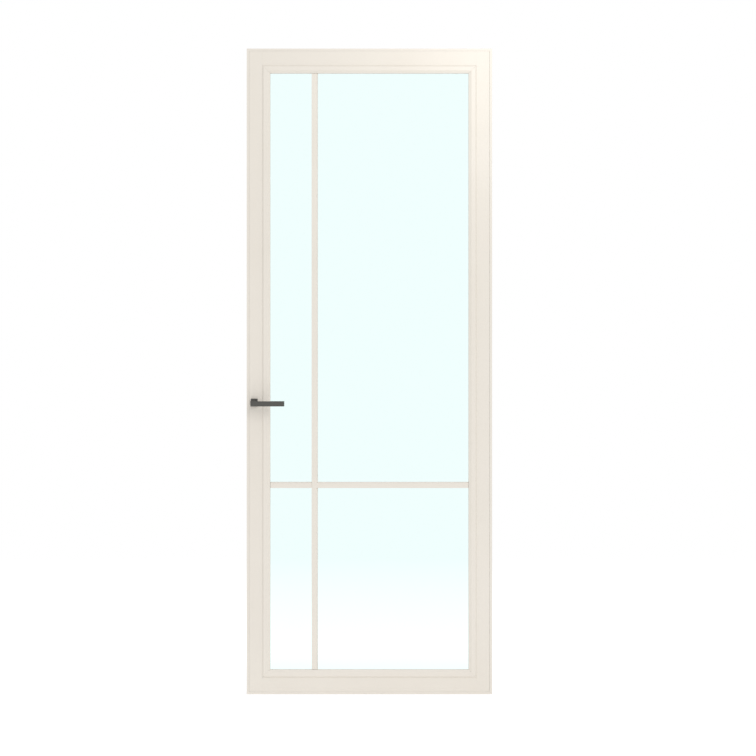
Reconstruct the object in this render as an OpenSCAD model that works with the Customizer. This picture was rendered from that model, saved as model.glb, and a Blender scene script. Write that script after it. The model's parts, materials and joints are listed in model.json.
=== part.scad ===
// Glazed door leaf of slim aluminium profiles in a thin liner frame, millimetres.
// X runs to the right and Y away from the viewer, Z is up, and the origin is on the floor.

/* [Frame] */
// Overall width of the liner frame
frame_w = 880; // [760:1:1000]
// Overall height of the liner frame
frame_h = 2315; // [2000:1:2500]
// Depth of the liner frame
frame_d = 90; // [80:1:140]
// Thickness of the jamb and head plates
jamb_t = 6; // [6:0.5:9]
// Thickness of the threshold
sill_t = 6; // [5:0.5:10]
// How far the stop stands in from the plate
stop_w = 9; // [8:0.5:14]
// Depth of the stop
stop_d = 14; // [12:0.5:20]
// How far the front lip covers the gap to the leaf
lip_w = 2.1; // [1:0.1:2.1]
// Depth of the front lip
lip_d = 1.5; // [1:0.1:1.5]
// Room between leaf and stop for the seal
stop_gap = 3; // [2.5:0.1:4]
// Width of the seal's foot
seal_w = 5; // [4:0.1:5.5]

/* [Leaf] */
// Thickness of the leaf
leaf_d = 40; // [38:0.5:48]
// Gap from leaf to jambs and head
edge_gap = 3; // [2.8:0.1:4]
// Gap from leaf to threshold
floor_gap = 3; // [2.8:0.1:6]
// Face width of the stiles
stile_w = 47; // [46:0.5:60]
// Face width of the top rail
top_rail_w = 51.5; // [44:0.5:60]
// Face width of the bottom rail
bottom_rail_w = 51; // [44:0.5:80]
// Wall of the tube profiles
wall = 2.5; // [2.2:0.1:3]
// Radius of the hinge stile's outer edges, which swing past the jamb
hinge_edge_r = 2; // [1.8:0.1:4]
// Radius of the lock stile's outer edges
lock_edge_r = 0.8; // [0.5:0.1:3]
// Length of the corner cleats
cleat_l = 50; // [40:1:80]
// Diameter of the cleat screws
cleat_screw_d = 5; // [4:0.1:6]

/* [Glazing] */
// Thickness of the glass
glass_t = 8; // [6:0.5:10]
// Thickness of the fin between the beads
fin_t = 6; // [5:0.5:6]
// Reach of the fin from the profile
fin_w = 10; // [8:0.5:12]
// Height of the setting blocks
block_t = 4; // [3:0.1:6]
// Length of a setting block
block_l = 60; // [40:1:100]
// Face width of the glazing bead
bead_w = 28; // [26:0.5:36]
// How far the bead stands proud of the leaf
bead_proud = 5; // [4:0.1:7]
// Width of the bead's outer bevel
bead_bevel = 4.5; // [3:0.1:6]
// Width of the bead's inner slope
bead_slope_w = 10; // [7:0.1:11]
// Drop of the bead's inner slope
bead_slope_h = 6; // [5:0.1:6.5]
// Wall of the bead profile
bead_wall = 2; // [1.6:0.1:2.2]
// Thickness of the gasket
gasket_t = 3; // [2:0.1:4]
// Width of gasket seen past the bead
gasket_lip = 0.6; // [0.3:0.1:1]

/* [Bars] */
// Width of a glazing bar on the glass
bar_w = 22; // [20:0.5:30]
// Width of a glazing bar's flat front
bar_front_w = 13.5; // [8:0.5:16]
// Height of the straight foot below a bar's round flank
bar_side = 3; // [2:0.1:6]
// Height of a bar above the glass
bar_h = 15; // [13:0.1:17]
// Place of the upright bar, from the middle to the lock side
bar_x = 196; // [120:1:240]
// Height of the cross bar above the floor
bar_z = 750; // [500:1:950]

/* [Handle] */
// Height of the handle above the floor
handle_z = 1045.5; // [980:0.5:1100]
// From the leaf's edge to the handle's axis
backset = 18; // [17.5:0.1:22]
// Width of the rose
rose_w = 24; // [22:0.5:25]
// Height of the rose
rose_h = 28; // [28:0.5:34]
// Depth of the rose
rose_d = 7; // [6:0.1:10]
// Wall of the rose cover
rose_wall = 1.5; // [1:0.1:1.6]
// Diameter of the lever's neck
neck_d = 13; // [12.5:0.1:13]
// Height of the lever bar
lever_h = 18.5; // [16:0.1:20]
// Depth of the lever bar
lever_d = 11; // [9:0.1:14]
// Length of the lever bar
lever_l = 119.5; // [100:0.5:140]
// From the leaf's face to the front of the lever bar
lever_out = 55; // [48:0.5:70]
// How far the lever bar lies below the axis
lever_drop = 4.5; // [2:0.1:5]
// Edge radius of the lever bar
lever_r = 2.5; // [1:0.1:4]
// Side of the square spindle
spindle_a = 8; // [7:0.1:8]

/* [Lock] */
// Thickness of the faceplate and the strike plate
plate_t = 1.5; // [1.2:0.1:1.7]
// Width of the faceplate and the strike plate
plate_w = 20; // [18:0.5:22]
// Length of the faceplate
face_l = 150; // [146:1:180]
// Length of the strike plate
strike_l = 80; // [60:1:120]
// Thickness of the lock case
case_d = 15; // [14:0.1:18]
// Wall of the lock case
case_wall = 1.5; // [1:0.1:1.6]
// Lock case below the handle's axis
case_below = 30; // [20:0.5:34]
// Lock case above the handle's axis
case_above = 45; // [40:0.5:48]
// Thickness of the latch bolt
latch_d = 11.5; // [9:0.1:11.6]
// Height of the latch bolt
latch_h = 16; // [15:0.1:18]
// How far the latch bolt stands out of the leaf
latch_out = 8; // [6:0.1:8.4]
// Diameter of the follower
follower_d = 18; // [16:0.1:18]

/* [Pivots] */
// From the leaf's edge and front to the pivot axis
pivot_in = 8.5; // [8.2:0.1:9]
// Diameter of the pivot pins
pin_d = 8; // [6:0.1:8]
// Height of the pivot blocks
pivot_block_h = 34; // [28:1:50]
// Thickness of the bottom pivot plate
pivot_plate_t = 3; // [2.5:0.1:3.5]
// Length of the bottom pivot plate
pivot_plate_l = 44; // [36:1:60]
// Width of the bottom pivot plate
pivot_plate_w = 26; // [22:1:30]

/* [Fixings] */
// Diameter of the wall fixing holes
fixing_d = 6.5; // [4:0.1:8]
// Distance of the fixing holes from the frame's back edge
fixing_in = 15; // [10:0.5:20]
// Spacing of the outer pair of fixing holes
fixing_outer = 1900; // [1500:1:1950]
// Spacing of the inner pair of fixing holes
fixing_inner = 700; // [400:1:900]

/* [Hidden] */
$fn = 48;

cream = "#e9e2d6";
gunmetal = "#5c5b59";
steel = "#b9bcbd";
rubber = "#ddd9cf";
polymer = "#d8d6d0";
bronze = "#b08a4a";
pane = "#d8f2f0";

// Head of a countersunk screw, in shank diameters
csk_ratio = 1.8;

// Clearances
slide_fit = 0.1;
pin_fit = 0.05;
soft_fit = 0.3;
hinge_seal_fit = 1.2;
eps = 1;

// Frame and leaf outlines
frame_x = frame_w / 2;
jamb_x = frame_x - jamb_t;
frame_y0 = -frame_d / 2;
frame_y1 = frame_d / 2;
head_z = frame_h - jamb_t;
leaf_x = jamb_x - edge_gap;
leaf_z0 = sill_t + floor_gap;
leaf_z1 = head_z - edge_gap;
leaf_y0 = frame_y0;
leaf_y1 = leaf_y0 + leaf_d;
mid_y = (leaf_y0 + leaf_y1) / 2;
stop_y = leaf_y1 + stop_gap;
stop_z = head_z - stop_w;
seal_in = (stop_w - edge_gap - seal_w) / 2 + edge_gap;
seal_foot = 1;
seal_x = jamb_x - seal_in - seal_w / 2;

// Wall fixings and frame corner screws
fixing_y = frame_y1 - fixing_in;
corner_screw_d = sill_t / 2;
corner_screw_l = 30;
corner_screw_y = stop_y + stop_d / 2;
screw_end = 1;

// Opening between the stiles and rails
open_x = leaf_x - stile_w;
open_z0 = leaf_z0 + bottom_rail_w;
open_z1 = leaf_z1 - top_rail_w;
open_w = 2 * open_x;
open_h = open_z1 - open_z0;
glass_in = fin_w + block_t;
sight_in = bead_w + gasket_lip;
bar_end = sight_in + slide_fit;
block_places = [0.2, 0.8];
bar_steps = 8;

// Depths measured outward from the glass's middle plane
face_v = leaf_d / 2;
bead_v = face_v + bead_proud;
glass_v = glass_t / 2;
gasket_v = glass_v + gasket_t;
gasket_w = 6;

// Cleats and their screws
cleat_y = 10;
cleat_screw_span = 12;
cleat_head_d = csk_ratio * cleat_screw_d;
cleat_head_h = 3;
cleat_bite = 27;
access_room = 1;
access_d = cleat_head_d + 2 * access_room;
cap_h = 6;
tube_w = stile_w - 2 * wall;
tube_d = leaf_d - 2 * wall;

// Pivot axis, bushes and block
pivot_x = leaf_x - pivot_in;
pivot_y = leaf_y0 + pivot_in;
bush_wall = 1.5;
bush_d = pin_d + 2 * bush_wall;
head_bush_wall = 2;
head_bush_d = pin_d + 2 * head_bush_wall;
washer_ring = 3;
washer_d = pin_d + 2 * washer_ring;
block_d = 18.5;
pin_sunk = 2;
pin_top_gap = 1;
block_end = 4;
bush_l = pivot_block_h - block_end;
plate_edge = 1.6;
pivot_plate_x1 = jamb_x - plate_edge;
pivot_plate_x0 = pivot_plate_x1 - pivot_plate_l;
pivot_plate_y0 = frame_y0 + plate_edge;
pivot_screw_d = 4;
pivot_screw_places = [6, 18];
pivot_plate_z = sill_t - pivot_plate_t;
sill_screw_gap = 8;
sill_screw_places = [pivot_plate_y0 + pivot_plate_w + sill_screw_gap, fixing_y];

// Handle and rose
handle_x = -(leaf_x - backset);
lever_heel = 6.5;
lever_x0 = handle_x - neck_d / 2 - lever_heel;
lever_v = face_v + lever_out;
rose_r = 1;
rose_room = 3;
base_t = rose_d - rose_room;
rose_screw_d = 2.6;
rose_head_d = 4.6;
rose_head_h = 2;
rose_screw_z = (neck_d / 2 + (rose_h / 2 - rose_wall)) / 2;
rose_bite = 3;
rose_screw_l = base_t - rose_head_h + wall + rose_bite;
spindle_room = 0.7;
spindle_hole_d = spindle_a * sqrt(2) + spindle_room;
spindle_short = 4;
spindle_v = lever_v - lever_d - spindle_short;
grub_d = 4;
grub_out = 20;
grub_v = face_v + grub_out;
tip_l = 12.5;
groove_w = 0.8;
groove_d = 0.5;

// Lock
face_x = -leaf_x;
case_x0 = face_x + plate_t;
case_behind = 10.5;
case_x1 = handle_x + follower_d / 2 + case_behind;
case_z0 = handle_z - case_below;
case_z1 = handle_z + case_above;
face_z = (case_z0 + case_z1) / 2;
face_screw_z = (face_l + case_z1 - case_z0) / 4;
face_screw_d = 4;
mount_block_h = 18;
mount_block_l = 10;
latch_room = 0.5;
latch_z0 = handle_z + follower_d / 2 + latch_room;
latch_z = latch_z0 + latch_h / 2;
latch_tip = face_x - latch_out;
latch_head_l = 15;
latch_nose = 4;
latch_land = 1;
latch_back = latch_tip + latch_head_l;
tail_h = 10;
tail_t = 4;
latch_travel = latch_out + latch_room;
tail_end = case_x1 - case_wall - latch_travel - soft_fit;
arm_r = 13;
arm_tip_r = 2.2;
arm_w = 2.8;
notch_room = 0.45;
journal_wall = 1.3;
journal_d = spindle_a * sqrt(2) + 2 * journal_wall;
strike_room = 0.6;
strike_screw_d = 4;
strike_screw_in = 10;
spring_wire = 1;
spring_r = 2.2;
spring_turns = 6;
spring_z = latch_z0 + tail_h + slide_fit + spring_r + spring_wire / 2;
spring_l = case_x1 - case_wall - latch_back;

// Flat with round corners on its lower X side only, centred on Y
module stile_outline(w, d, r) {
    translate([r, -d / 2]) square([w - r, d]);
    translate([0, -d / 2 + r]) square([r, d - 2 * r]);
    for (s = [-1, 1]) translate([r, s * (d / 2 - r)]) circle(r);
}

module rounded_rect(w, h, r) {
    square([w, h - 2 * r], center = true);
    square([w - 2 * r, h], center = true);
    for (sx = [-1, 1], sy = [-1, 1]) translate([sx * (w / 2 - r), sy * (h / 2 - r)]) circle(r);
}

module block(x0, x1, y0, y1, z0, z1) {
    translate([x0, y0, z0]) cube([x1 - x0, y1 - y0, z1 - z0]);
}

// Rod along X, Y or Z from a start point
module rod_x(d, x0, x1, y, z) {
    translate([x0, y, z]) rotate([0, 90, 0]) cylinder(d = d, h = x1 - x0);
}

module rod_y(d, y0, y1, x, z) {
    translate([x, y0, z]) rotate([-90, 0, 0]) cylinder(d = d, h = y1 - y0);
}

module rod_z(d, z0, z1, x, y) {
    translate([x, y, z0]) cylinder(d = d, h = z1 - z0);
}

// Countersunk screw along +Z with its head's face at 0
module csk(d, l) {
    cylinder(d1 = csk_ratio * d, d2 = d, h = (csk_ratio - 1) * d / 2);
    cylinder(d = d, h = l);
}

module csk_x(d, x0, l, y, z) {
    translate([x0, y, z]) rotate([0, 90, 0]) csk(d, l);
}

module mirror_x(flip) {
    mirror([flip ? 1 : 0, 0, 0]) children();
}

// Liner frame

module jamb_plate() {
    difference() {
        union() {
            block(-frame_x, -jamb_x, frame_y0, frame_y1, 0, frame_h);
            block(-frame_x, -jamb_x + stop_w, stop_y, stop_y + stop_d, sill_t, stop_z);
            block(-frame_x, -jamb_x + lip_w, frame_y0, frame_y0 + lip_d, sill_t + lip_w, head_z - lip_w);
        }
        for (z = fixing_heights()) rod_x(fixing_d, -frame_x - eps, -jamb_x + eps, fixing_y, z);
        frame_corner_screw_row();
    }
}

function fixing_heights() = [for (s = [fixing_outer, fixing_inner], k = [-1, 1]) frame_h / 2 + k * s / 2];

module frame_corner_screw_row() {
    csk_x(corner_screw_d, -frame_x, corner_screw_l, corner_screw_y, (stop_z + frame_h) / 2);
    for (y = sill_screw_places) csk_x(corner_screw_d, -frame_x, corner_screw_l, y, sill_t / 2);
}

module strike_pocket() {
    block(-jamb_x - plate_t, -jamb_x + eps,
        mid_y - plate_w / 2 - slide_fit, mid_y + plate_w / 2 + slide_fit,
        latch_z - strike_l / 2 - slide_fit, latch_z + strike_l / 2 + slide_fit);
    strike_slot();
    strike_screw_pair();
}

module strike_slot() {
    block(-frame_x - eps, -jamb_x + eps,
        mid_y - latch_d / 2 - strike_room, mid_y + latch_d / 2 + strike_room,
        latch_z0 - strike_room, latch_z0 + latch_h + strike_room);
}

module strike_screw_pair() {
    for (s = [-1, 1])
        translate([-jamb_x, mid_y, latch_z + s * (strike_l / 2 - strike_screw_in)])
            rotate([0, 180, 0]) csk_x(strike_screw_d, 0, jamb_t - screw_end, 0, 0);
}

module lock_jamb() {
    color(cream) difference() {
        jamb_plate();
        strike_pocket();
    }
}

module hinge_jamb() {
    color(cream) mirror_x(true) jamb_plate();
}

module frame_head() {
    color(cream) difference() {
        union() {
            block(-jamb_x, jamb_x, frame_y0, frame_y1, head_z, frame_h);
            block(-jamb_x, jamb_x, stop_y, stop_y + stop_d, stop_z, frame_h);
            block(-jamb_x, jamb_x, frame_y0, frame_y0 + lip_d, head_z - lip_w, frame_h);
        }
        rod_z(head_bush_d, head_z - eps, frame_h + eps, pivot_x, pivot_y);
        frame_corner_screws_all();
    }
}

module threshold() {
    color(cream) difference() {
        union() {
            block(-jamb_x, jamb_x, frame_y0, frame_y1, 0, sill_t);
            block(-jamb_x, jamb_x, frame_y0, frame_y0 + lip_d, 0, sill_t + lip_w);
        }
        block(pivot_plate_x0 - slide_fit, pivot_plate_x1 + slide_fit, pivot_plate_y0 - slide_fit,
            pivot_plate_y0 + pivot_plate_w + slide_fit, pivot_plate_z, sill_t + eps);
        rod_z(pin_d, pivot_plate_z - pin_sunk, sill_t, pivot_x, pivot_y);
        pivot_plate_screw_pair();
        frame_corner_screws_all();
    }
}

module frame_corner_screws_all() {
    for (flip = [false, true]) mirror_x(flip) frame_corner_screw_row();
}

module frame_corner_screws() {
    color(steel) frame_corner_screws_all();
}

// Bulb seal of a given height along +Z, foot at Y 0 and bulb towards -Y
module seal_strip(l, h) {
    bulb_r = (h - seal_foot / 2) / 2;
    linear_extrude(l) {
        translate([-seal_w / 2, -seal_foot]) square([seal_w, seal_foot]);
        translate([0, -h + bulb_r]) circle(bulb_r);
    }
}

module lock_side_seal() {
    color(rubber) translate([-seal_x, stop_y, sill_t]) seal_strip(stop_z - sill_t, stop_gap - soft_fit);
}

module hinge_side_seal() {
    color(rubber) translate([seal_x, stop_y, sill_t])
        seal_strip(stop_z - sill_t, stop_gap - hinge_seal_fit);
}

// Ends short of the hinge corner, where the leaf's back edge swings past
module head_seal() {
    color(rubber) translate([-leaf_x, stop_y, head_z - seal_in - seal_w / 2]) rotate([0, 90, 0])
        seal_strip(leaf_x + pivot_x - leaf_d / 2, stop_gap - soft_fit);
}

module strike_plate() {
    color(steel) difference() {
        block(-jamb_x - plate_t, -jamb_x, mid_y - plate_w / 2, mid_y + plate_w / 2,
            latch_z - strike_l / 2, latch_z + strike_l / 2);
        strike_slot();
        strike_screw_pair();
    }
}

module plate_screws() {
    color(steel) {
        strike_screw_pair();
        pivot_plate_screw_pair();
    }
}

// Corner pivots

module pivot_plate_screw_pair() {
    for (x = pivot_screw_places)
        translate([pivot_plate_x0 + x, pivot_plate_y0 + pivot_plate_w / 2, sill_t])
            mirror([0, 0, 1]) csk(pivot_screw_d, sill_t - screw_end);
}

module bottom_pivot_plate() {
    color(steel) difference() {
        block(pivot_plate_x0, pivot_plate_x1, pivot_plate_y0, pivot_plate_y0 + pivot_plate_w,
            pivot_plate_z, sill_t);
        rod_z(pin_d, pivot_plate_z - eps, sill_t + eps, pivot_x, pivot_y);
        pivot_plate_screw_pair();
    }
}

module bottom_pivot_pin() {
    color(steel) rod_z(pin_d, pivot_plate_z - pin_sunk, leaf_z0 + bush_l - pin_top_gap, pivot_x, pivot_y);
}

module thrust_washer() {
    color(bronze) difference() {
        rod_z(washer_d, sill_t, leaf_z0, pivot_x, pivot_y);
        rod_z(pin_d + 2 * pin_fit, sill_t - eps, leaf_z0 + eps, pivot_x, pivot_y);
    }
}

module top_pivot_bush() {
    color(bronze) difference() {
        rod_z(head_bush_d, head_z, frame_h, pivot_x, pivot_y);
        rod_z(pin_d + 2 * pin_fit, head_z - eps, frame_h + eps, pivot_x, pivot_y);
    }
}

// Block that fills the hinge stile's end, with its plate at the outer end
module pivot_block_body(z0) {
    block(open_x + wall, leaf_x - wall, leaf_y0 + wall, leaf_y1 - wall, z0, z0 + cap_h);
    block(open_x + wall, leaf_x - wall, leaf_y0 + wall, leaf_y0 + wall + block_d, z0, z0 + pivot_block_h);
}

module bottom_pivot_block() {
    color(steel) difference() {
        pivot_block_body(leaf_z0);
        rod_z(bush_d, leaf_z0 - eps, leaf_z0 + bush_l, pivot_x, pivot_y);
    }
}

module bottom_pivot_bush() {
    color(bronze) difference() {
        rod_z(bush_d, leaf_z0, leaf_z0 + bush_l, pivot_x, pivot_y);
        rod_z(pin_d + 2 * pin_fit, leaf_z0 - eps, leaf_z0 + bush_l + eps, pivot_x, pivot_y);
    }
}

module top_pivot_block() {
    color(steel) difference() {
        translate([0, 0, 2 * leaf_z1]) mirror([0, 0, 1]) pivot_block_body(leaf_z1);
        rod_z(pin_d, leaf_z1 - bush_l, leaf_z1 + eps, pivot_x, pivot_y);
    }
}

module top_pivot_pin() {
    color(steel) rod_z(pin_d, leaf_z1 - bush_l, frame_h - pin_top_gap, pivot_x, pivot_y);
}

// Leaf profiles

// Places of the cleat screws on the lock stile, as heights
function cleat_heights() = [for (z = [(leaf_z0 + open_z0) / 2, (open_z1 + leaf_z1) / 2], s = [-1, 1])
    z + s * cleat_screw_span];

module cleat_screw_row() {
    for (z = cleat_heights()) {
        rod_x(cleat_screw_d, -open_x - wall, -open_x + cleat_bite, mid_y + cleat_y, z);
        rod_x(cleat_head_d, -open_x - wall - cleat_head_h, -open_x - wall, mid_y + cleat_y, z);
    }
}

module stile_profile(edge_r) {
    difference() {
        translate([-leaf_x, mid_y, leaf_z0]) linear_extrude(leaf_z1 - leaf_z0) difference() {
            stile_outline(stile_w, leaf_d, edge_r);
            translate([wall, -tube_d / 2]) square([tube_w, tube_d]);
        }
        for (z = cleat_heights()) rod_x(access_d, -leaf_x - eps, -leaf_x + wall + eps, mid_y + cleat_y, z);
        cleat_screw_row();
    }
    block(-open_x - wall, -open_x + fin_w, mid_y - fin_t / 2, mid_y + fin_t / 2, open_z0, open_z1);
}

module lock_stile() {
    color(cream) difference() {
        stile_profile(lock_edge_r);
        block(face_x - eps, case_x0, mid_y - plate_w / 2 - slide_fit, mid_y + plate_w / 2 + slide_fit,
            face_z - face_l / 2 - slide_fit, face_z + face_l / 2 + slide_fit);
        block(face_x - eps, face_x + wall + eps,
            mid_y - case_d / 2 - slide_fit, mid_y + case_d / 2 + slide_fit,
            case_z0 - slide_fit, case_z1 + slide_fit);
        faceplate_screw_pair();
        rod_y(spindle_hole_d, leaf_y0 - eps, leaf_y1 + eps, handle_x, handle_z);
        rose_screw_set();
    }
}

module hinge_stile() {
    color(cream) mirror_x(true) stile_profile(hinge_edge_r);
}

// Rail tube between two heights, with its fin towards the opening
module rail_profile(z0, z1, fin_z0, fin_z1) {
    difference() {
        block(-open_x, open_x, leaf_y0, leaf_y1, z0, z1);
        block(-open_x - eps, open_x + eps, leaf_y0 + wall, leaf_y1 - wall, z0 + wall, z1 - wall);
    }
    block(-open_x + fin_w, open_x - fin_w, mid_y - fin_t / 2, mid_y + fin_t / 2, fin_z0, fin_z1);
}

module top_rail() {
    color(cream) rail_profile(open_z1, leaf_z1, open_z1 - fin_w, open_z1 + wall);
}

module bottom_rail() {
    color(cream) rail_profile(leaf_z0, open_z0, open_z0 - wall, open_z0 + fin_w);
}

module corner_cleats() {
    color(steel) for (flip = [false, true], z = [[leaf_z0, open_z0], [open_z1, leaf_z1]]) mirror_x(flip)
        difference() {
            block(-open_x, -open_x + cleat_l, leaf_y0 + wall, leaf_y1 - wall, z[0] + wall, z[1] - wall);
            cleat_screw_row();
        }
}

module cleat_screws() {
    color(steel) for (flip = [false, true]) mirror_x(flip) cleat_screw_row();
}

module stile_end_caps() {
    color(polymer) for (z = [leaf_z0, leaf_z1 - cap_h])
        block(-leaf_x + wall, -open_x - wall, leaf_y0 + wall, leaf_y1 - wall, z, z + cap_h);
}

// Glazing

module glass_pane() {
    color(pane, 0.35) block(-open_x + glass_in, open_x - glass_in, mid_y - glass_v, mid_y + glass_v,
        open_z0 + glass_in, open_z1 - glass_in);
}

// Carries a child from the left edge of the opening to one of its four sides
module on_side(side) {
    if (side == "left") translate([-open_x, mid_y, open_z0]) children();
    if (side == "right") mirror([1, 0, 0]) translate([-open_x, mid_y, open_z0]) children();
    if (side == "bottom")
        translate([-open_x, mid_y, open_z0]) mirror([0, 0, 1]) rotate([0, 90, 0]) children();
    if (side == "top") translate([-open_x, mid_y, open_z1]) rotate([0, 90, 0]) children();
}

module on_face(face) {
    mirror([0, face == "front" ? 1 : 0, 0]) children();
}

function side_length(side) = (side == "left" || side == "right") ? open_h : open_w;

// Open section of the bead, X across from the profile to the glass and Y outward
module bead_section() {
    leg = bead_w - bead_wall;
    slope_x = bead_w - bead_slope_w;
    inner_v = bead_v - bead_wall;
    foot_w = 3 * bead_wall;
    foot_v = fin_t / 2;
    polygon([[0, foot_v], [0, face_v], [bead_bevel, bead_v], [slope_x, bead_v],
        [bead_w, bead_v - bead_slope_h], [bead_w, gasket_v], [leg, gasket_v],
        [leg, inner_v - bead_slope_h + bead_wall / 2], [slope_x - bead_wall / 4, inner_v],
        [bead_bevel + bead_wall / 2, inner_v], [bead_wall, face_v - bead_wall / 2],
        [bead_wall, foot_v + bead_wall], [foot_w, foot_v + bead_wall], [foot_w, foot_v]]);
}

// Bead with mitred ends, along +Z
module bead(l) {
    intersection() {
        linear_extrude(l) bead_section();
        rotate([-90, 0, 0]) linear_extrude(bead_v + eps)
            polygon([[0, 0], [bead_w, -bead_w], [bead_w, bead_w - l], [0, -l]]);
    }
}

module placed_bead(face, side) {
    color(cream) on_side(side) on_face(face) bead(side_length(side));
}

module front_bead_left() { placed_bead("front", "left"); }
module front_bead_right() { placed_bead("front", "right"); }
module front_bead_top() { placed_bead("front", "top"); }
module front_bead_bottom() { placed_bead("front", "bottom"); }
module back_bead_left() { placed_bead("back", "left"); }
module back_bead_right() { placed_bead("back", "right"); }
module back_bead_top() { placed_bead("back", "top"); }
module back_bead_bottom() { placed_bead("back", "bottom"); }

module gasket_ring(face) {
    color(rubber) for (side = ["left", "right", "top", "bottom"]) {
        inset = (side == "left" || side == "right") ? sight_in - gasket_w : sight_in;
        on_side(side) on_face(face) translate([sight_in - gasket_w, glass_v, inset])
            cube([gasket_w, gasket_t, side_length(side) - 2 * inset]);
    }
}

module front_gasket() { gasket_ring("front"); }
module back_gasket() { gasket_ring("back"); }

module setting_blocks() {
    color(rubber) for (side = ["left", "right", "top", "bottom"], k = block_places)
        on_side(side) translate([fin_w, -fin_t / 2, side_length(side) * k - block_l / 2])
            cube([block_t, fin_t, block_l]);
}

// Glazing bars laid on the glass

// Flat front with one square flank, the other flank rounded down to its foot
module bar_section() {
    round_w = bar_w - bar_front_w;
    round_h = bar_h - bar_side;
    flank = [for (i = [0:bar_steps]) let (a = 90 * i / bar_steps)
        [bar_w / 2 - round_w + round_w * cos(a), bar_side + round_h * sin(a)]];
    polygon(concat([[-bar_w / 2, 0], [bar_w / 2, 0]], flank, [[-bar_w / 2, bar_h]]));
}

module upright_bar() {
    translate([-bar_x, glass_v, open_z0 + bar_end]) linear_extrude(open_h - 2 * bar_end) bar_section();
}

// Cross bar between two places along X, its square flank below, cut to the upright bar
module cross_bar(x0, x1) {
    difference() {
        translate([x0, glass_v, bar_z]) rotate([0, 90, 0]) linear_extrude(x1 - x0)
            mirror([1, 0]) bar_section();
        upright_bar();
    }
}

module placed_on_glass(face) {
    color(cream) translate([0, mid_y, 0]) on_face(face) children();
}

module front_bar_upright() { placed_on_glass("front") upright_bar(); }
module front_bar_left() { placed_on_glass("front") cross_bar(-open_x + bar_end, -bar_x); }
module front_bar_right() { placed_on_glass("front") cross_bar(-bar_x, open_x - bar_end); }
module back_bar_upright() { placed_on_glass("back") upright_bar(); }
module back_bar_left() { placed_on_glass("back") cross_bar(-open_x + bar_end, -bar_x); }
module back_bar_right() { placed_on_glass("back") cross_bar(-bar_x, open_x - bar_end); }

// Lock

module faceplate_screw_pair() {
    for (s = [-1, 1]) csk_x(face_screw_d, face_x, mount_block_l, mid_y, face_z + s * face_screw_z);
}

module latch_window(room) {
    block(face_x - eps, case_x0 + case_wall + eps, mid_y - latch_d / 2 - room, mid_y + latch_d / 2 + room,
        latch_z0 - room, latch_z0 + latch_h + room);
}

module lock_faceplate() {
    color(steel) difference() {
        block(face_x, case_x0, mid_y - plate_w / 2, mid_y + plate_w / 2,
            face_z - face_l / 2, face_z + face_l / 2);
        latch_window(slide_fit);
        faceplate_screw_pair();
    }
}

module faceplate_screws() {
    color(steel) faceplate_screw_pair();
}

module lock_mount_blocks() {
    color(steel) difference() {
        for (s = [-1, 1])
            translate([0, 0, face_z + s * face_screw_z])
                block(face_x + wall, face_x + wall + mount_block_l,
                    mid_y - plate_w / 2, mid_y + plate_w / 2, -mount_block_h / 2, mount_block_h / 2);
        faceplate_screw_pair();
    }
}

module lock_case() {
    color(steel) difference() {
        block(case_x0, case_x1, mid_y - case_d / 2, mid_y + case_d / 2 - case_wall, case_z0, case_z1);
        block(case_x0 + case_wall, case_x1 - case_wall, mid_y - case_d / 2 + case_wall, mid_y + case_d / 2,
            case_z0 + case_wall, case_z1 - case_wall);
        latch_window(slide_fit);
        rod_y(journal_d + 2 * pin_fit, mid_y - case_d / 2 - eps, mid_y, handle_x, handle_z);
    }
}

module lock_cover() {
    color(steel) difference() {
        block(case_x0, case_x1, mid_y + case_d / 2 - case_wall, mid_y + case_d / 2, case_z0, case_z1);
        rod_y(journal_d + 2 * pin_fit, mid_y, mid_y + case_d / 2 + eps, handle_x, handle_z);
    }
}

module spindle_bar(a, v0, v1) {
    translate([handle_x - a / 2, mid_y + v0, handle_z - a / 2]) cube([a, v1 - v0, a]);
}

module follower() {
    hub_v = case_d / 2 - case_wall - soft_fit;
    color(steel) difference() {
        union() {
            rod_y(follower_d, mid_y - hub_v, mid_y + hub_v, handle_x, handle_z);
            rod_y(journal_d, mid_y - case_d / 2, mid_y + case_d / 2, handle_x, handle_z);
            rod_y(2 * arm_tip_r, mid_y - tail_t / 2, mid_y + tail_t / 2, handle_x, handle_z + arm_r);
            block(handle_x - arm_w / 2, handle_x + arm_w / 2, mid_y - tail_t / 2, mid_y + tail_t / 2,
                handle_z + spindle_a, handle_z + arm_r);
        }
        spindle_bar(spindle_a + 2 * pin_fit, -case_d, case_d);
    }
}

// Latch bolt with its slanted side to the back, and a tail with a notch for the follower's arm
module latch_bolt() {
    notch = 2 * (arm_tip_r + notch_room);
    color(steel) {
        translate([0, mid_y - latch_d / 2, latch_z0]) linear_extrude(latch_h)
            polygon([[latch_tip, 0], [latch_back, 0], [latch_back, latch_d], [face_x - latch_land, latch_d],
                [latch_tip, latch_nose]]);
        difference() {
            block(face_x, tail_end, mid_y - tail_t / 2, mid_y + tail_t / 2, latch_z0, latch_z0 + tail_h);
            block(handle_x - notch / 2, handle_x + notch / 2, mid_y - tail_t, mid_y + tail_t,
                latch_z0 - eps, handle_z + arm_r + arm_tip_r + notch_room);
        }
    }
}

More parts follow.
